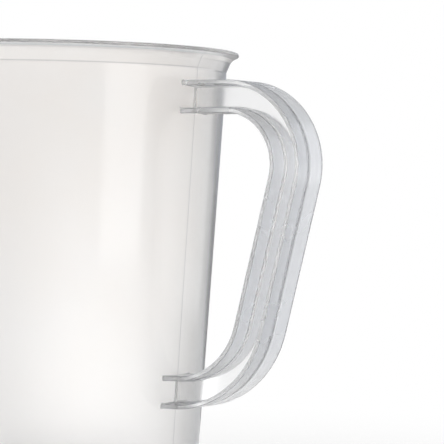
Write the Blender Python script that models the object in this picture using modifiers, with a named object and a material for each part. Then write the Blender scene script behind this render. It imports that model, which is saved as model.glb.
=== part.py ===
# Plastic measuring beaker: a tapered, moulded jug with a flared collar, a pouring
# spout and a large loop handle of H section, all one piece of polypropylene.
# Metres. The origin is the middle of the flat underside, +Z runs up the beaker's
# axis, the handle points along +X and the spout along -X.

from math import atan2, cos, hypot, pi, radians, sin, tan

import bmesh
import bpy

# Body
HEIGHT = 0.160              # underside to the top of the lip
RIM_RADIUS = 0.080          # outermost edge of the lip
WALL = 0.0018
FLOOR = 0.0022
DRAFT = radians(3.6)        # the wall leans out by this much, so that the moulding lets go
HEEL_RADIUS = 0.0045        # rounding round the outside of the base
CORNER_RADIUS = 0.0060      # rounding inside, where the wall meets the floor

# Collar: a ring line, a short cone and a curl out to the lip
COLLAR_DEPTH = 0.0068       # ring line to the top of the lip
COLLAR_OVERHANG = 0.0046    # lip's edge beyond the ring line
COLLAR_LEAN = radians(23)   # of the cone above the ring line, from upright
LIP_LEAN = radians(72)      # of the lip at its edge, from upright
LIP_THICKNESS = 0.0014

# Spout: the collar and the wall under it drawn out into a beak
SPOUT_REACH = 0.0095        # beyond the lip
SPOUT_DEPTH = 0.024         # from the top of the lip down to where the beak starts
SPOUT_HALF_ANGLE = radians(24)

# Handle: two flat strips joined by a web, bent to a D
HANDLE_DROP = 0.0120        # top of the lip to the top of the upper strip
HANDLE_SPAN = 0.1174        # top of the upper strip to the underside of the lowest one
HANDLE_REACH = 0.1220       # axis to the outermost point of the grip
GRIP_DEPTH = 0.0116         # outer face to the face that the fingers meet
GRIP_LEAN = radians(14)     # of the straight grip, its lower end nearer the body
TOP_BEND = 0.0300           # radius of the outer face at the top corner
LOW_BEND = 0.0366           # radius of the outer face at the lower corner
STRIP_WIDTH = 0.0180
STRIP_THICKNESS = 0.0016
WEB_THICKNESS = 0.0015

# Facets
BODY_SEGMENTS = 96
SPOUT_ROWS = 5
ARC_STEPS = 5
BEND_STEP = radians(7)
MERGE_DISTANCE = 0.00001

RING_HEIGHT = HEIGHT - COLLAR_DEPTH
RING_RADIUS = RIM_RADIUS - COLLAR_OVERHANG


def body_radius(z):
    """Outer radius of the tapered wall at a height."""
    return RING_RADIUS - (RING_HEIGHT - z) * tan(DRAFT)


def arc(centre, radius, start, end, steps):
    """Points along an arc, both ends included."""
    angles = [start + (end - start) * i / steps for i in range(steps + 1)]
    return [(centre[0] + radius * cos(a), centre[1] + radius * sin(a)) for a in angles]


def corner(radius_at_floor, floor_z, radius):
    """Arc from a flat floor up into the leaning wall, tangent to both."""
    sweep = pi / 2 - DRAFT
    reach = radius * tan(sweep / 2)
    return arc((radius_at_floor - reach, floor_z + radius), radius, -pi / 2, -DRAFT, ARC_STEPS)


def flare(start, end):
    """A short cone and a tangent curl, from the ring line to the lip's edge."""
    run, rise = end[0] - start[0], end[1] - start[1]
    cone_run, cone_rise = sin(COLLAR_LEAN), cos(COLLAR_LEAN)
    curl_run, curl_rise = cos(COLLAR_LEAN) - cos(LIP_LEAN), sin(LIP_LEAN) - sin(COLLAR_LEAN)
    spread = curl_run * cone_rise - curl_rise * cone_run
    curl = (run * cone_rise - rise * cone_run) / spread
    cone = (rise * curl_run - run * curl_rise) / spread
    top = (start[0] + cone * cone_run, start[1] + cone * cone_rise)
    centre = (top[0] + curl * cos(COLLAR_LEAN), top[1] - curl * sin(COLLAR_LEAN))
    return [start] + arc(centre, curl, pi - COLLAR_LEAN, pi - LIP_LEAN, ARC_STEPS)


def spout_rows(inset):
    """Extra points on the wall below the ring line, where the beak is drawn out."""
    low = HEIGHT - SPOUT_DEPTH
    heights = [low + (RING_HEIGHT - low) * i / SPOUT_ROWS for i in range(SPOUT_ROWS)]
    return [(body_radius(z) - inset, z) for z in heights]


def body_profile():
    """Half section: along the floor, up the inside, over the lip and down the outside."""
    edge = LIP_THICKNESS / 2
    middle = (RIM_RADIUS - edge, HEIGHT - edge)
    rounding = arc(middle, edge, pi - LIP_LEAN, -LIP_LEAN, ARC_STEPS)
    floor_inside = corner(body_radius(FLOOR) - WALL, FLOOR, CORNER_RADIUS)
    heel_outside = corner(body_radius(0), 0, HEEL_RADIUS)
    inside = [(0, FLOOR)] + floor_inside + spout_rows(WALL)
    inside += flare((RING_RADIUS - WALL, RING_HEIGHT), rounding[0])
    outside = [(0, 0)] + heel_outside + spout_rows(0)
    outside += flare((RING_RADIUS, RING_HEIGHT), rounding[-1])
    return inside + rounding[1:-1] + outside[::-1]


def draw_out_spout(mesh):
    """Pull the collar and the wall under it outwards into a beak on the -X side."""
    low = HEIGHT - SPOUT_DEPTH
    for vertex in mesh.vertices:
        x, y, z = vertex.co
        off_middle = abs(atan2(y, -x)) / SPOUT_HALF_ANGLE
        if z <= low or off_middle >= 1:
            continue
        height_share = (z - low) / SPOUT_DEPTH
        swell = height_share ** 2 * cos(off_middle * pi / 2) ** 2
        scale = 1 + SPOUT_REACH * swell / hypot(x, y)
        vertex.co = (x * scale, y * scale, z)


def handle_path(depth):
    """Middle line of the grip in the X-Z plane, this deep below its outer face."""
    top = HEIGHT - HANDLE_DROP
    bottom = top - HANDLE_SPAN
    upper = (HANDLE_REACH - TOP_BEND, top - TOP_BEND)
    normal = (cos(GRIP_LEAN), -sin(GRIP_LEAN))
    lower_z = bottom + LOW_BEND
    across = TOP_BEND - LOW_BEND - (lower_z - upper[1]) * normal[1]
    lower = (upper[0] + across / normal[0], lower_z)
    top_steps = round((pi / 2 + GRIP_LEAN) / BEND_STEP)
    low_steps = round((pi / 2 - GRIP_LEAN) / BEND_STEP)
    points = [(0, top - depth)]
    points += arc(upper, TOP_BEND - depth, pi / 2, -GRIP_LEAN, top_steps)
    points += arc(lower, LOW_BEND - depth, -GRIP_LEAN, -pi / 2, low_steps)
    return points + [(0, bottom + depth)]


def handle_section():
    """Outline of the H: two strips and the web between them, about the middle."""
    outer, strip = GRIP_DEPTH / 2, GRIP_DEPTH / 2 - STRIP_THICKNESS
    side, web = STRIP_WIDTH / 2, WEB_THICKNESS / 2
    half = [(-outer, side), (-strip, side), (-strip, web), (strip, web), (strip, side), (outer, side)]
    return half + [(x, -y) for x, y in reversed(half)]


def poly_curve(name, points, closed, collection):
    """Curve object through points given in its own X-Y plane."""
    curve = bpy.data.curves.new(name, "CURVE")
    spline = curve.splines.new("POLY")
    spline.points.add(len(points) - 1)
    for point, (x, y) in zip(spline.points, points):
        point.co = (x, y, 0, 1)
    spline.use_cyclic_u = closed
    obj = bpy.data.objects.new(name, curve)
    collection.objects.link(obj)
    return obj


def as_mesh(obj, collection):
    """Replace an object by the mesh that its modifiers and curve settings give."""
    bpy.context.view_layer.update()
    evaluated = obj.evaluated_get(bpy.context.evaluated_depsgraph_get())
    mesh = bpy.data.meshes.new_from_object(evaluated)
    solid = bpy.data.objects.new(obj.name, mesh)
    solid.matrix_world = obj.matrix_world
    collection.objects.link(solid)
    name = obj.name
    bpy.data.objects.remove(obj)
    solid.name = name
    bm = bmesh.new()
    bm.from_mesh(mesh)
    bmesh.ops.remove_doubles(bm, verts=bm.verts, dist=MERGE_DISTANCE)
    bm.to_mesh(mesh)
    bm.free()
    return solid


def turned_body(collection):
    """The cup: its half section spun round the axis, with the spout drawn out."""
    points = body_profile()
    mesh = bpy.data.meshes.new("beaker")
    edges = [(i, i + 1) for i in range(len(points) - 1)]
    mesh.from_pydata([(r, 0, z) for r, z in points], edges, [])
    profile = bpy.data.objects.new("beaker", mesh)
    collection.objects.link(profile)
    screw = profile.modifiers.new("Turn", "SCREW")
    screw.axis = "Z"
    screw.steps = screw.render_steps = BODY_SEGMENTS
    screw.use_merge_vertices = True
    screw.merge_threshold = MERGE_DISTANCE
    body = as_mesh(profile, collection)
    draw_out_spout(body.data)
    return body


def loop_handle(collection):
    """The H section swept along the grip's middle line, out of the body and back."""
    section = poly_curve("handle_section", handle_section(), True, collection)
    path = poly_curve("handle", handle_path(GRIP_DEPTH / 2), False, collection)
    path.data.dimensions = "2D"
    path.data.bevel_mode = "OBJECT"
    path.data.bevel_object = section
    path.data.use_fill_caps = True
    path.rotation_euler = (pi / 2, 0, 0)
    handle = as_mesh(path, collection)
    bpy.data.objects.remove(section)
    return handle


def wall_core(collection):
    """A cone that fills the cup out to the middle of its wall, to end the handle there."""
    bm = bmesh.new()
    bmesh.ops.create_cone(
        bm, cap_ends=True, segments=BODY_SEGMENTS,
        radius1=body_radius(0) - WALL / 2, radius2=body_radius(HEIGHT) - WALL / 2, depth=HEIGHT,
    )
    bmesh.ops.translate(bm, verts=bm.verts, vec=(0, 0, HEIGHT / 2))
    mesh = bpy.data.meshes.new("wall_core")
    bm.to_mesh(mesh)
    bm.free()
    core = bpy.data.objects.new("wall_core", mesh)
    core.hide_render = True
    core.display_type = "WIRE"
    collection.objects.link(core)
    return core


def add_boolean(obj, other, operation):
    """Cut or join another solid, with the exact solver."""
    modifier = obj.modifiers.new(operation.title(), "BOOLEAN")
    modifier.operation = operation
    modifier.solver = "EXACT"
    modifier.object = other


def milky_plastic():
    """Natural polypropylene: a cloudy, slightly warm white that lets light through."""
    material = bpy.data.materials.new("milky_plastic")
    material.use_nodes = True
    shader = material.node_tree.nodes["Principled BSDF"]
    shader.inputs["Base Color"].default_value = (0.88, 0.88, 0.85, 1)
    shader.inputs["Metallic"].default_value = 0
    shader.inputs["Roughness"].default_value = 0.28
    shader.inputs["IOR"].default_value = 1.49
    shader.inputs["Transmission Weight"].default_value = 0.6
    return material


def new_collection(name):
    """Collection linked to the scene."""
    collection = bpy.data.collections.new(name)
    bpy.context.scene.collection.children.link(collection)
    return collection


def build():
    """The whole beaker as one fused solid."""
    for obj in list(bpy.data.objects):
        bpy.data.objects.remove(obj)
    parts = new_collection("Measuring beaker")
    cutters = new_collection("Cutters")

    core = wall_core(cutters)
    handle = loop_handle(cutters)
    add_boolean(handle, core, "DIFFERENCE")
    handle = as_mesh(handle, cutters)
    handle.hide_render = True
    handle.display_type = "WIRE"

    beaker = turned_body(parts)
    add_boolean(beaker, handle, "UNION")
    beaker.data.materials.append(milky_plastic())
    beaker.data.shade_smooth()
    beaker.data.set_sharp_from_angle(angle=radians(35))


build()
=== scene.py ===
from math import atan2, cos, hypot, pi, radians, sin, sqrt, tan

import bmesh
import bpy
from mathutils import Matrix, Vector


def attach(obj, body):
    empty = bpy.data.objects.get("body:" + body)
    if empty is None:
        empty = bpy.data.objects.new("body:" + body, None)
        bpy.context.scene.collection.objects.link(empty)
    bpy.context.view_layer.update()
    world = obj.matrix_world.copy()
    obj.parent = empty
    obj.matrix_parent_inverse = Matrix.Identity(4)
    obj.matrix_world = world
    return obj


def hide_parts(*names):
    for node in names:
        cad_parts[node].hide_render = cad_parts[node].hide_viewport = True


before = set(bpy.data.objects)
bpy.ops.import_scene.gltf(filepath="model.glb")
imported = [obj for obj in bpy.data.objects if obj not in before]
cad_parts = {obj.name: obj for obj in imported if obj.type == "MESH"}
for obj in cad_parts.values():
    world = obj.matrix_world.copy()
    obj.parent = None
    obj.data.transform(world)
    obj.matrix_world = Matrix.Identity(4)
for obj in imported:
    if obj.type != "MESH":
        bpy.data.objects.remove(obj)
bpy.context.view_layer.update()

# The cup: the tapered wall, the floor, the flared collar with its rounded lip and the spout.
# One moulding in natural polypropylene. The mould's two halves leave a fine upright line on the
# wall in the plane of the handle, and the underside is hollowed a little inside a narrow foot.

height = 0.160
rim_radius = 0.080
wall = 0.0018
floor_thickness = 0.0022
draft = radians(3.6)
collar_height = 0.0068
collar_flare = 0.0046
cone_lean = radians(23)
lip_lean = radians(72)
lip_thickness = 0.0014
groove_width = 0.0010
groove_depth = 0.0002
groove_bottom_share = 0.4
heel_radius = 0.0045
inner_heel_radius = 0.0060
bore_bend_radius = 0.0012
foot_width = 0.0030
foot_depth = 0.0008
gate_radius = 0.0015
gate_depth = 0.0003
crisp_edge = 0.0001
groove_edge = 0.0002
foot_edge = 0.0003
foot_root = 0.0004
nearly_all = 0.98
wall_rows = 32
cup_columns = 288
weld_distance = 0.000005
touching = 0.00001

ring_height = height - collar_height
ring_radius = rim_radius - collar_flare
lip_edge = lip_thickness / 2


def wall_radius(z):
    """Outer radius of the tapered wall at a height."""
    return ring_radius - (ring_height - z) * tan(draft)


def tangent(radius, turn):
    """Length along each side of a corner that a rounding of this radius takes."""
    return radius * tan(turn / 2)


def collar_corner(start, end):
    """Where the collar's cone meets the lip's line, and how far that is from the lip's end."""
    cone = (sin(cone_lean), cos(cone_lean))
    lip = (sin(lip_lean), cos(lip_lean))
    run, rise = end[0] - start[0], end[1] - start[1]
    back = (run * cone[1] - rise * cone[0]) / (lip[0] * cone[1] - lip[1] * cone[0])
    return (end[0] - back * lip[0], end[1] - back * lip[1]), back


def cup_corners():
    """Half section as corners (radius, height, rounding's tangent, segments), inside to outside."""
    upright = pi / 2 - draft
    bend = cone_lean - draft
    lip_middle = (rim_radius - lip_edge, height - lip_edge)
    along = (sin(lip_lean) * lip_edge, cos(lip_lean) * lip_edge)
    across = (-cos(lip_lean) * lip_edge, sin(lip_lean) * lip_edge)
    inner_end = (lip_middle[0] + across[0], lip_middle[1] + across[1])
    outer_end = (lip_middle[0] - across[0], lip_middle[1] - across[1])
    inner_curl, inner_back = collar_corner((ring_radius - wall, ring_height), inner_end)
    outer_curl, outer_back = collar_corner((ring_radius, ring_height), outer_end)
    lip_round = lip_edge * nearly_all
    groove_foot = ring_height - groove_width
    foot_outer = wall_radius(0) - tangent(heel_radius, upright)
    foot_inner = foot_outer - foot_width
    inner_heel = wall_radius(floor_thickness) - wall
    return [
        (0, floor_thickness, 0, 0),
        (inner_heel, floor_thickness, tangent(inner_heel_radius, upright), 10),
        (ring_radius - wall, ring_height, tangent(bore_bend_radius, bend), 3),
        (*inner_curl, inner_back * nearly_all, 10),
        (inner_end[0] + along[0], inner_end[1] + along[1], lip_round, 8),
        (outer_end[0] + along[0], outer_end[1] + along[1], lip_round, 8),
        (*outer_curl, outer_back * nearly_all, 10),
        (ring_radius, ring_height, crisp_edge, 2),
        (ring_radius - groove_depth, ring_height - groove_width * groove_bottom_share, crisp_edge, 2),
        (wall_radius(groove_foot), groove_foot, groove_edge, 3),
        (wall_radius(0), 0, tangent(heel_radius, upright), 10),
        (foot_inner, 0, foot_edge, 2),
        (foot_inner - foot_depth, foot_depth, foot_root, 3),
        (gate_radius + gate_depth, foot_depth, crisp_edge, 2),
        (gate_radius, foot_depth - gate_depth, crisp_edge, 2),
        (0, foot_depth - gate_depth, 0, 0),
    ]


cup = bmesh.new()
corners = cup_corners()
profile = [cup.verts.new((radius, 0, z)) for radius, z, _, _ in corners]
for first, second in zip(profile, profile[1:]):
    cup.edges.new((first, second))
for vertex, (_, _, reach, segments) in zip(profile, corners):
    if segments:
        bmesh.ops.bevel(
            cup, geom=[vertex], offset=reach, segments=segments,
            profile=0.5, affect="VERTICES", material=-1,
        )
tall_edges = [edge for edge in cup.edges if edge.calc_length() > height / 2]
bmesh.ops.subdivide_edges(cup, edges=tall_edges, cuts=wall_rows - 1)
bmesh.ops.spin(
    cup, geom=cup.verts[:] + cup.edges[:], cent=(0, 0, 0), axis=(0, 0, 1), dvec=(0, 0, 0),
    angle=2 * pi, steps=cup_columns, use_merge=True,
)
bmesh.ops.remove_doubles(cup, verts=cup.verts, dist=weld_distance)

# The spout is the collar and the wall below it, drawn out where nothing else is.
spout_reach = 0.0095
spout_depth = 0.024
spout_half_angle = radians(24)
for vertex in cup.verts:
    x, y, z = vertex.co
    share = (z - height + spout_depth) / spout_depth
    off_middle = abs(atan2(y, -x)) / spout_half_angle
    if share > 0 and off_middle < 1:
        pull = spout_reach * share ** 2 * cos(off_middle * pi / 2) ** 2
        scale = 1 + pull / hypot(x, y)
        vertex.co = (x * scale, y * scale, z)

# The parting line stands up between two cuts, on the outside of the wall only.
line_half_width = 0.00025
line_rise = 0.00005
line_below_rim = 0.003
line_from_axis = 0.05
least_outwards = 0.3
for side in (-line_half_width, line_half_width):
    bmesh.ops.bisect_plane(
        cup, geom=cup.verts[:] + cup.edges[:] + cup.faces[:], dist=weld_distance,
        plane_co=(0, side, 0), plane_no=(0, 1, 0),
    )
bmesh.ops.recalc_face_normals(cup, faces=cup.faces)
cup.normal_update()
for vertex in cup.verts:
    x, y, z = vertex.co
    outwards = vertex.normal.x * x > least_outwards * abs(x)
    if abs(y) < touching and outwards and z < height - line_below_rim and abs(x) > line_from_axis:
        vertex.co.x += line_rise if x > 0 else -line_rise

cup_mesh = bpy.data.meshes.new("cup")
cup.to_mesh(cup_mesh)
cup.free()

# The handle: two flat strips joined by a web, an H in section, bent to a D and grown out of
# the wall at both ends. Its edges are rounded, its roots are filled a little, and it swells
# where it runs into the wall, so that the hot plastic flows and the joint is strong.

handle_drop = 0.0120
handle_span = 0.1174
handle_reach = 0.1220
grip_depth = 0.0116
grip_lean = radians(14)
top_bend = 0.0300
low_bend = 0.0366
strip_width = 0.0180
strip_thickness = 0.0016
web_thickness = 0.0015
edge_rounding = 0.00035
root_rounding = 0.0008
rounding_segments = 4
top_root_depth = 0.010
low_root_depth = 0.006
bend_step = radians(3)
fine_weld_distance = 0.000002

handle_top = height - handle_drop
handle_bottom = handle_top - handle_span
upper_centre = Vector((handle_reach - top_bend, 0, handle_top - top_bend))
grip_normal = Vector((cos(grip_lean), 0, -sin(grip_lean)))
low_centre_z = handle_bottom + low_bend
shift = (top_bend - low_bend - (low_centre_z - upper_centre.z) * grip_normal.z) / grip_normal.x
lower_centre = Vector((upper_centre.x + shift, 0, low_centre_z))
grip_run = (lower_centre + grip_normal * low_bend) - (upper_centre + grip_normal * top_bend)
start_x = ring_radius - top_root_depth
end_x = wall_radius(handle_bottom) - low_root_depth

handle = bmesh.new()
half_side = strip_width / 2
half_web = web_thickness / 2
half_outline = [
    (0, half_side), (strip_thickness, half_side), (strip_thickness, half_web),
    (grip_depth - strip_thickness, half_web), (grip_depth - strip_thickness, half_side),
    (grip_depth, half_side),
]
outline = half_outline + [(depth, -side) for depth, side in reversed(half_outline)]
handle.faces.new([handle.verts.new((start_x, side, handle_top - depth)) for depth, side in outline])
for at_side, rounding in ((half_side, edge_rounding), (half_web, root_rounding)):
    picked = [v for v in handle.verts if abs(abs(v.co.y) - at_side) < touching]
    bmesh.ops.bevel(
        handle, geom=picked, offset=rounding, segments=rounding_segments,
        profile=0.5, affect="VERTICES", material=-1,
    )
bmesh.ops.delete(handle, geom=handle.faces[:], context="FACES_ONLY")
bmesh.ops.remove_doubles(handle, verts=handle.verts, dist=weld_distance)


def ring_of(made):
    """The newest ring of vertices and edges among what an operator made."""
    return [part for part in made if isinstance(part, (bmesh.types.BMVert, bmesh.types.BMEdge))]


def run(ring, offset):
    """Carry the ring straight on."""
    edges = [part for part in ring if isinstance(part, bmesh.types.BMEdge)]
    ring = ring_of(bmesh.ops.extrude_edge_only(handle, edges=edges)["geom"])
    moved = [part for part in ring if isinstance(part, bmesh.types.BMVert)]
    bmesh.ops.translate(handle, verts=moved, vec=offset)
    return ring


def bend(ring, centre, angle):
    """Carry the ring round a bend."""
    return ring_of(bmesh.ops.spin(
        handle, geom=ring, cent=centre, axis=(0, 1, 0), dvec=(0, 0, 0), angle=angle,
        steps=round(angle / bend_step), use_merge=False, use_duplicate=False,
    )["geom_last"])


ring = run(handle.verts[:] + handle.edges[:], (upper_centre.x - start_x, 0, 0))
ring = bend(ring, upper_centre, pi / 2 + grip_lean)
ring = run(ring, grip_run)
ring = bend(ring, lower_centre, pi / 2 - grip_lean)
run(ring, (end_x - lower_centre.x, 0, 0))
bmesh.ops.remove_doubles(handle, verts=handle.verts, dist=fine_weld_distance)
bmesh.ops.holes_fill(handle, edges=[e for e in handle.edges if e.is_boundary], sides=0)

# Fine cuts across both ends let each strip swell in a small curve where it meets the wall.
swell_radius = 0.0005
swell_cuts = 16
swell_start = -0.0012
swell_length = 0.0030
least_sideways = 0.5
for end_z in (handle_top - grip_depth / 2, handle_bottom + grip_depth / 2):
    for i in range(swell_cuts):
        geom = set()
        for face in handle.faces:
            middle = face.calc_center_median()
            if abs(middle.z - end_z) < grip_depth and middle.x < upper_centre.x:
                geom.add(face)
                geom.update(face.verts)
                geom.update(face.edges)
        cut_x = wall_radius(end_z) + swell_start + swell_length * i / (swell_cuts - 1)
        bmesh.ops.bisect_plane(
            handle, geom=list(geom), dist=weld_distance,
            plane_co=(cut_x, 0, 0), plane_no=(1, 0, 0),
        )
bmesh.ops.remove_doubles(handle, verts=handle.verts, dist=weld_distance)
bmesh.ops.recalc_face_normals(handle, faces=handle.faces)
handle.normal_update()
for vertex in handle.verts:
    x, y, z = vertex.co
    clear = hypot(x, y) - wall_radius(z)
    if x < upper_centre.x and clear < swell_radius:
        gone = swell_radius - max(clear, 0)
        swell = swell_radius - sqrt(swell_radius ** 2 - gone ** 2)
        sideways = Vector((0, vertex.normal.y, vertex.normal.z))
        if sideways.length > least_sideways:
            vertex.co += sideways.normalized() * swell
handle_mesh = bpy.data.meshes.new("handle")
handle.to_mesh(handle_mesh)
handle.free()

# The moulding: the cup and the handle are one piece of plastic. The handle is cut off in the
# middle of the wall by a cone, then fused with the cup, and the joined surface is smoothed.

sharp_angle = radians(38)

core = bmesh.new()
bmesh.ops.create_cone(
    core, cap_ends=True, segments=cup_columns, depth=height,
    radius1=wall_radius(0) - wall / 2, radius2=wall_radius(height) - wall / 2,
)
bmesh.ops.translate(core, verts=core.verts, vec=(0, 0, height / 2))
core_mesh = bpy.data.meshes.new("wall_core")
core.to_mesh(core_mesh)
core.free()


def linked(name, data):
    """A new object in the scene that shows this data."""
    obj = bpy.data.objects.new(name, data)
    bpy.context.scene.collection.objects.link(obj)
    return obj


def combined(name, base_mesh, other_mesh, operation):
    """Mesh of one solid cut or joined by another."""
    base = linked(name, base_mesh)
    other = linked(name + "_other", other_mesh)
    modifier = base.modifiers.new(operation.title(), "BOOLEAN")
    modifier.operation = operation
    modifier.solver = "EXACT"
    modifier.object = other
    evaluated = base.evaluated_get(bpy.context.evaluated_depsgraph_get())
    mesh = bpy.data.meshes.new_from_object(evaluated)
    mesh.name = name
    bpy.data.objects.remove(base)
    bpy.data.objects.remove(other)
    return mesh


cut_handle = combined("cut_handle", handle_mesh, core_mesh, "DIFFERENCE")
moulding_mesh = combined("beaker_moulding", cup_mesh, cut_handle, "UNION")
moulding_mesh.shade_smooth()
moulding_mesh.set_sharp_from_angle(angle=sharp_angle)
moulding = linked("beaker_moulding", moulding_mesh)
evening = moulding.modifiers.new("Even shading", "WEIGHTED_NORMAL")
evening.keep_sharp = True
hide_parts("beaker")
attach(moulding, "root")

# The graduation: raised marks in the same plastic on the side that faces someone who holds the
# handle in the right hand. Plain numbers and strokes, worked out from what the cup holds.

mark_rise = 0.00035
mark_sink = 0.0002
stroke_height = 0.0007
stroke_cuts = 6
long_stroke = 0.0150
short_stroke = 0.0075
stroke_left = -0.0040
number_size = 0.0062
number_gap = 0.0020
number_smoothness = 4
unit_rise = 0.0085
largest_ml = 2000
step_ml = 50
number_every_ml = 250
slice_height = 0.0001

mark_thickness = mark_rise + mark_sink
mark_middle = (mark_rise - mark_sink) / 2


def height_of(ml):
    """Height of the liquid's surface, counted up in thin slices of the cup."""
    z, held = floor_thickness, 0.0
    while held < ml / 1000 / 1000:
        held += pi * (wall_radius(z) - wall) ** 2 * slice_height
        z += slice_height
    return z


def bend_round_wall(flat):
    """Bend what is drawn flat (right, up, out) round the wall on the -Y side."""
    for vertex in flat.verts:
        right, up, out = vertex.co
        radius = wall_radius(up) + out
        angle = right / wall_radius(up)
        vertex.co = (radius * sin(angle), -radius * cos(angle), up)


marks = bmesh.new()
for ml in range(step_ml, largest_ml + 1, step_ml):
    length = long_stroke if ml % number_every_ml == 0 else short_stroke
    stroke = bmesh.ops.create_cube(marks, size=1)["verts"]
    bmesh.ops.scale(marks, verts=stroke, vec=(length, stroke_height, mark_thickness))
    middle = (stroke_left + length / 2, height_of(ml), mark_middle)
    bmesh.ops.translate(marks, verts=stroke, vec=middle)
    lengthwise = {edge for vertex in stroke for edge in vertex.link_edges
                  if abs(edge.verts[0].co.x - edge.verts[1].co.x) > length / 2}
    bmesh.ops.subdivide_edges(marks, edges=list(lengthwise), cuts=stroke_cuts)

words = [(str(ml), "RIGHT", stroke_left - number_gap, height_of(ml))
         for ml in range(number_every_ml, largest_ml + 1, number_every_ml)]
words.append(("ml", "LEFT", stroke_left, height_of(largest_ml) + unit_rise))
for text, side, x, z in words:
    curve = bpy.data.curves.new("number", "FONT")
    curve.body = text
    curve.size = number_size
    curve.extrude = mark_thickness / 2
    curve.align_x = side
    curve.align_y = "CENTER"
    curve.resolution_u = number_smoothness
    writing = linked("number", curve)
    bpy.context.view_layer.update()
    drawn = bpy.data.meshes.new_from_object(
        writing.evaluated_get(bpy.context.evaluated_depsgraph_get()))
    bpy.data.objects.remove(writing)
    drawn.transform(Matrix.Translation((x, z, mark_middle)))
    marks.from_mesh(drawn)
    bpy.data.meshes.remove(drawn)
bmesh.ops.remove_doubles(marks, verts=marks.verts, dist=fine_weld_distance)
bend_round_wall(marks)
bmesh.ops.recalc_face_normals(marks, faces=marks.faces)
marks_mesh = bpy.data.meshes.new("strokes")
marks.to_mesh(marks_mesh)
marks.free()
graduation = linked("graduation", marks_mesh)
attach(graduation, "root")

# The plastic: natural polypropylene, slightly warm and cloudy. The mould leaves the outer face
# satin and the inner one matt, so that the wall blurs what is behind it. The base colour is painted
# darker and cooler at the wall's sides, the handle's slanting strips, the lip, the ring's groove
# and the parting line: painted shade for the dark surroundings that these edges refract and
# mirror. The longer path through plastic there also darkens it a little in the volume absorption.

refraction = 1.49
clearness = 0.92
outer_roughness = 0.12
cloud_roughness = 0.06
inner_roughness = 0.34
strip_roughness = 0.12
web_side = 0.001
lip_start = 0.0032
clear_tint = (0.990, 0.990, 0.990, 1)
warm_tint = (0.975, 0.905, 0.840, 1)
# Colours of the painted shade: grey-blue on the wall's edges, lip, ring and parting line, bluer on
# the handle.
wall_shade = (0.090, 0.110, 0.145, 1)
handle_shade = (0.075, 0.120, 0.220, 1)
depth_colour = (0.80, 0.81, 0.82, 1)
depth_density = 18.0
# The warm tone's rise towards the rim darkens the upper wall: partly painted shade.
warmth_at_foot = 0.2
rimward_shade_gain = 1.1
lip_relief = 0.85
grain_share = 0.25
skin_depth = 0.00004
skin_strength = 0.12


class Wire:
    """One output in a material's nodes. Sums that are written with it become Math nodes."""

    def __init__(self, graph, socket):
        self.graph = graph
        self.socket = socket

    def maths(self, operation, first, second=0.0):
        return self.graph.add("ShaderNodeMath", {"operation": operation}, {0: first, 1: second})

    def __add__(self, other):
        return self.maths("ADD", self, other)

    def __mul__(self, other):
        return self.maths("MULTIPLY", self, other)

    def __sub__(self, other):
        return self.maths("SUBTRACT", self, other)

    def __rsub__(self, other):
        return self.maths("SUBTRACT", other, self)

    def __gt__(self, other):
        return self.maths("GREATER_THAN", self, other)

    def __abs__(self):
        return self.maths("ABSOLUTE", self)

    __radd__ = __add__
    __rmul__ = __mul__

    def at_least(self, other):
        return self.maths("MAXIMUM", self, other)

    def at_most(self, other):
        return self.maths("MINIMUM", self, other)

    def eased(self, span, values):
        """Runs smoothly from the first to the second value while this wire crosses the span."""
        return self.graph.add("ShaderNodeMapRange", {"interpolation_type": "SMOOTHSTEP"}, {
            "Value": self, "From Min": span[0], "From Max": span[1],
            "To Min": values[0], "To Max": values[1]})


class Graph:
    """The nodes of one material or of the world."""

    def __init__(self, owner):
        owner.use_nodes = True
        self.tree = owner.node_tree
        self.tree.nodes.clear()

    def add(self, kind, settings, inputs, output=0):
        node = self.tree.nodes.new(kind)
        for name, value in settings.items():
            setattr(node, name, value)
        for name, value in inputs.items():
            if isinstance(value, Wire):
                self.tree.links.new(value.socket, node.inputs[name])
            else:
                node.inputs[name].default_value = value
        return Wire(self, node.outputs[output]) if node.outputs else None


def noise(graph, place, scale, detail):
    return graph.add("ShaderNodeTexNoise", {}, {"Vector": place, "Scale": scale, "Detail": detail})


def tinted(graph, share, first, second):
    """Colour that goes from the first to the second as the share grows."""
    first_socket, second_socket, colour_output = 6, 7, 2
    return graph.add("ShaderNodeMix", {"data_type": "RGBA"}, {
        "Factor": share, first_socket: first, second_socket: second}, colour_output)


plastic = bpy.data.materials.new("milky_plastic")
graph = Graph(plastic)
place = graph.add("ShaderNodeTexCoord", {}, {}, "Object")
forwards, across, up = (
    graph.add("ShaderNodeSeparateXYZ", {}, {0: place}, axis) for axis in ("X", "Y", "Z"))
cloud = noise(graph, place, scale=28.0, detail=3.0)
grain = noise(graph, place, scale=420.0, detail=2.0)
drawn_out = graph.add("ShaderNodeMapping", {}, {"Vector": place, "Scale": (60.0, 60.0, 9.0)})
flow = noise(graph, drawn_out, scale=1.0, detail=2.0)
skin = graph.add("ShaderNodeBump", {}, {
    "Height": grain * grain_share + flow, "Distance": skin_depth, "Strength": skin_strength})

# Where on the beaker a point lies, told from its distance to the middle of the wall.
flattened = graph.add(
    "ShaderNodeVectorMath", {"operation": "MULTIPLY"}, {0: place, 1: (1, 1, 0)})
off_axis = graph.add("ShaderNodeVectorMath", {"operation": "LENGTH"}, {0: flattened}, "Value")
off_middle = abs(across)
above_ring = up - ring_height
collar_part = above_ring.at_least(0.0) * tan(cone_lean)
wall_part = above_ring.at_most(0.0) * tan(draft)
mid_wall = collar_part + wall_part + (ring_radius - wall / 2)
inside = (mid_wall > off_axis) * (up > floor_thickness / 2)
on_lip = above_ring > lip_start
on_handle = (off_axis > mid_wall + wall) * (1 - on_lip) * (forwards > 0)
on_strip = on_handle * (off_middle > web_side)
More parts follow.
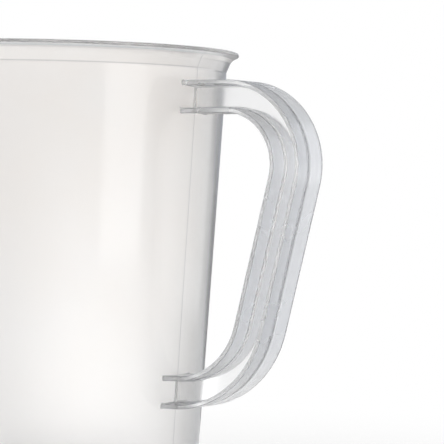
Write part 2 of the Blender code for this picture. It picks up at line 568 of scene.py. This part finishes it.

# How much painted shade each form takes: the most that any one of them asks for.
# Painted shade: a dark line along the groove under the ring, where the crease is shaded.
from_groove = abs(above_ring + groove_width / 4)
groove_painted_shade = from_groove.eased(span=(0.00010, 0.00035), values=(0.45, 0.0))
# Painted shade: a thin dark line down the wall along the parting line, kept off the handle.
parting_painted_shade = off_middle.eased(span=(0.00010, 0.00040), values=(0.50, 0.0)) * (1 - on_handle)
# Painted shade: a darker band on the lip, from its foot to just below its top.
lip_painted_shade = above_ring.eased(span=(0.0040, 0.0045), values=(0.0, 0.36))
below_top = above_ring.eased(span=(0.0056, 0.0062), values=(1.0, 0.0))
# Painted shade towards the wall's outline, and on the handle's strips where they slant away, by how
# far the surface turns from the viewer.
facing = graph.add("ShaderNodeLayerWeight", {}, {"Blend": 0.5}, "Facing")
edge_painted_shade = facing.eased(span=(0.36, 1.0), values=(0.0, 1.0))
edge_painted_shade = edge_painted_shade * (1 - on_handle - lip_relief * on_lip)
strip_slant = facing.eased(span=(0.18, 0.43), values=(0.0, 0.46))
strip_glance = facing.eased(span=(0.50, 0.85), values=(1.0, 0.2))
strip_painted_shade = strip_slant * strip_glance * on_handle
painted_shade = (edge_painted_shade + strip_painted_shade).at_least(groove_painted_shade).at_least(lip_painted_shade * below_top)
painted_shade = painted_shade.at_least(parting_painted_shade) * (1 - inside)

# The plastic's own warm, cloudy tone, stronger towards the rim, where it is partly painted shade.
warm_tone_and_shade = cloud * inside * (warmth_at_foot + up * (rimward_shade_gain / height))
tint = tinted(graph, warm_tone_and_shade, clear_tint, warm_tint)
# The painted shade's colour: grey-blue on the wall, bluer on the handle.
painted_shade_colour = tinted(graph, on_handle, wall_shade, handle_shade)
roughness = outer_roughness + cloud_roughness * cloud
roughness = roughness + inner_roughness * inside + strip_roughness * on_strip
body = graph.add("ShaderNodeBsdfPrincipled", {}, {
    "Base Color": tinted(graph, painted_shade, tint, painted_shade_colour),
    "Roughness": roughness,
    "IOR": refraction,
    "Transmission Weight": clearness,
    "Normal": skin,
})
depth = graph.add("ShaderNodeVolumeAbsorption", {}, {
    "Color": depth_colour, "Density": depth_density})
graph.add("ShaderNodeOutputMaterial", {}, {"Surface": body, "Volume": depth})
for piece in (moulding, graduation):
    piece.data.materials.clear()
    piece.data.materials.append(plastic)

# The floor: a wide pale sheet that keeps the beaker's shadow and runs out to white. Only what
# mirrors it sees a dim card towards the far right, which draws the dark line down the wall's edge.

sheet_half = 6.0
sheet_colour = (0.92, 0.92, 0.92, 1)
white = (1, 1, 1, 1)
card_azimuth = radians(112)
card_light = 0.33

ground = bmesh.new()
bmesh.ops.create_grid(ground, x_segments=1, y_segments=1, size=sheet_half)
ground_mesh = bpy.data.meshes.new("floor")
ground.to_mesh(ground_mesh)
ground.free()
floor = linked("floor", ground_mesh)


def ray_kinds(graph):
    """Masks of the rays from the camera, from a mirroring surface, and through plastic."""
    names = ("Is Camera Ray", "Is Glossy Ray", "Is Transmission Ray")
    return [graph.add("ShaderNodeLightPath", {}, {}, name) for name in names]


def towards_card(graph, place):
    """1 in the direction of the dim card, 0 elsewhere."""
    direction = graph.add("ShaderNodeVectorMath", {"operation": "NORMALIZE"}, {0: place})
    card = (cos(card_azimuth), sin(card_azimuth), 0)
    along = graph.add(
        "ShaderNodeVectorMath", {"operation": "DOT_PRODUCT"}, {0: direction, 1: card}, "Value")
    return along.eased(span=(0.93, 0.978), values=(0.0, 1.0))


def blended(graph, share, first, second):
    """Surface or background that goes from the first to the second as the share grows."""
    return graph.add("ShaderNodeMixShader", {}, {"Fac": share, 1: first, 2: second})


white_sheet = bpy.data.materials.new("white_sheet")
graph = Graph(white_sheet)
seen, glossy, through = ray_kinds(graph)
place = graph.add("ShaderNodeTexCoord", {}, {}, "Object")
away = graph.add("ShaderNodeVectorMath", {"operation": "LENGTH"}, {0: place}, "Value")
beside_shadow = away.eased(span=(0.10, 0.35), values=(0.7, 1.0))
matte = graph.add("ShaderNodeBsdfDiffuse", {}, {"Color": sheet_colour})
glow = graph.add("ShaderNodeEmission", {}, {"Color": white, "Strength": 1.0})
card = graph.add("ShaderNodeEmission", {}, {"Color": white, "Strength": card_light})
lit_sheet = blended(graph, (seen * beside_shadow).at_least(glossy).at_least(through), matte, glow)
card_share = glossy * (1 - through) * towards_card(graph, place)
graph.add("ShaderNodeOutputMaterial", {}, {
    "Surface": blended(graph, card_share, lit_sheet, card)})
floor.data.materials.append(white_sheet)

# The room: white where it is looked at. It lights the beaker evenly from the sides and less
# from overhead, and what mirrors it sees a plain cool grey, with the dim card low down.

overhead_light = 0.55
mirror_colour = (0.90, 0.94, 1.0, 1)
mirror_light = 0.54

world = bpy.data.worlds.new("room")
bpy.context.scene.world = world
graph = Graph(world)
seen, glossy, through = ray_kinds(graph)
direction = graph.add("ShaderNodeTexCoord", {}, {}, "Generated")
upwards = graph.add("ShaderNodeSeparateXYZ", {}, {0: direction}, "Z")
side_light = upwards.eased(span=(0.0, 0.70), values=(1.0, overhead_light))
low_down = upwards.eased(span=(-0.04, 0.02), values=(1.0, 0.0))
soft = graph.add("ShaderNodeBackground", {}, {"Color": white, "Strength": side_light})
mirror = graph.add("ShaderNodeBackground", {}, {"Color": mirror_colour, "Strength": mirror_light})
card = graph.add("ShaderNodeBackground", {}, {"Color": white, "Strength": card_light})
backdrop = graph.add("ShaderNodeBackground", {}, {"Color": white, "Strength": 1.0})
mirrored = blended(graph, low_down * towards_card(graph, direction), mirror, card)
lighting = blended(graph, glossy * (1 - through), soft, mirrored)
graph.add("ShaderNodeOutputWorld", {}, {"Surface": blended(graph, seen, lighting, backdrop)})

# The lamps: a tall one draws the upright highlight, a wide one and a high one light the rest,
# and a low bank behind the cup, weaker towards its top, brightens the plastic near the foot.


def lamp(name, azimuth, distance, lamp_height, aim_height, width, tall, power):
    """A soft rectangular lamp that looks at the beaker's axis."""
    light = bpy.data.lights.new(name, "AREA")
    light.shape = "RECTANGLE"
    light.size = width
    light.size_y = tall
    light.energy = power
    spot = Vector((cos(azimuth) * distance, sin(azimuth) * distance, lamp_height))
    turn = (Vector((0, 0, aim_height)) - spot).to_track_quat("-Z", "Y")
    obj = linked(name, light)
    obj.matrix_world = Matrix.Translation(spot) @ turn.to_matrix().to_4x4()
    obj.visible_camera = False
    return obj


strip_lamp = lamp(
    "strip_lamp", azimuth=radians(-1), distance=0.45, lamp_height=0.265, aim_height=0.265,
    width=0.19, tall=0.47, power=0.62)
strip_lamp.visible_transmission = False
lamp(
    "side_lamp", azimuth=radians(45), distance=0.60, lamp_height=0.20, aim_height=0.20,
    width=0.78, tall=0.40, power=0.88)
lamp(
    "top_lamp", azimuth=radians(-120), distance=1.2, lamp_height=1.2, aim_height=0.05,
    width=0.8, tall=0.8, power=8.0)
low_steps = 7
low_step = 0.02
low_start = 0.004
low_power = 0.0031
for step in range(low_steps):
    at = low_start + (step + 0.5) * low_step
    lamp(
        "low_lamp", azimuth=radians(99), distance=0.095, lamp_height=at, aim_height=at,
        width=0.08, tall=low_step, power=low_power * (1 - step / low_steps))

# The camera: level with the upper half of the beaker, a little above its middle, at a long
# distance for its picture angle, so that the rim is a flat ellipse.

camera_data = bpy.data.cameras.new("camera")
camera_data.sensor_width = 36.0
camera_data.lens = 194.6
camera = linked("camera", camera_data)
eye = Vector((0.5211, -0.7380, 0.1077))
forward = Vector((-0.5076, 0.8615, -0.01177))
camera_roll = 0.01148
turn = forward.to_track_quat("-Z", "Y").to_matrix().to_4x4()
camera.matrix_world = Matrix.Translation(eye) @ turn @ Matrix.Rotation(camera_roll, 4, "Z")
bpy.context.scene.camera = camera
bpy.context.scene.view_settings.view_transform = "Standard"
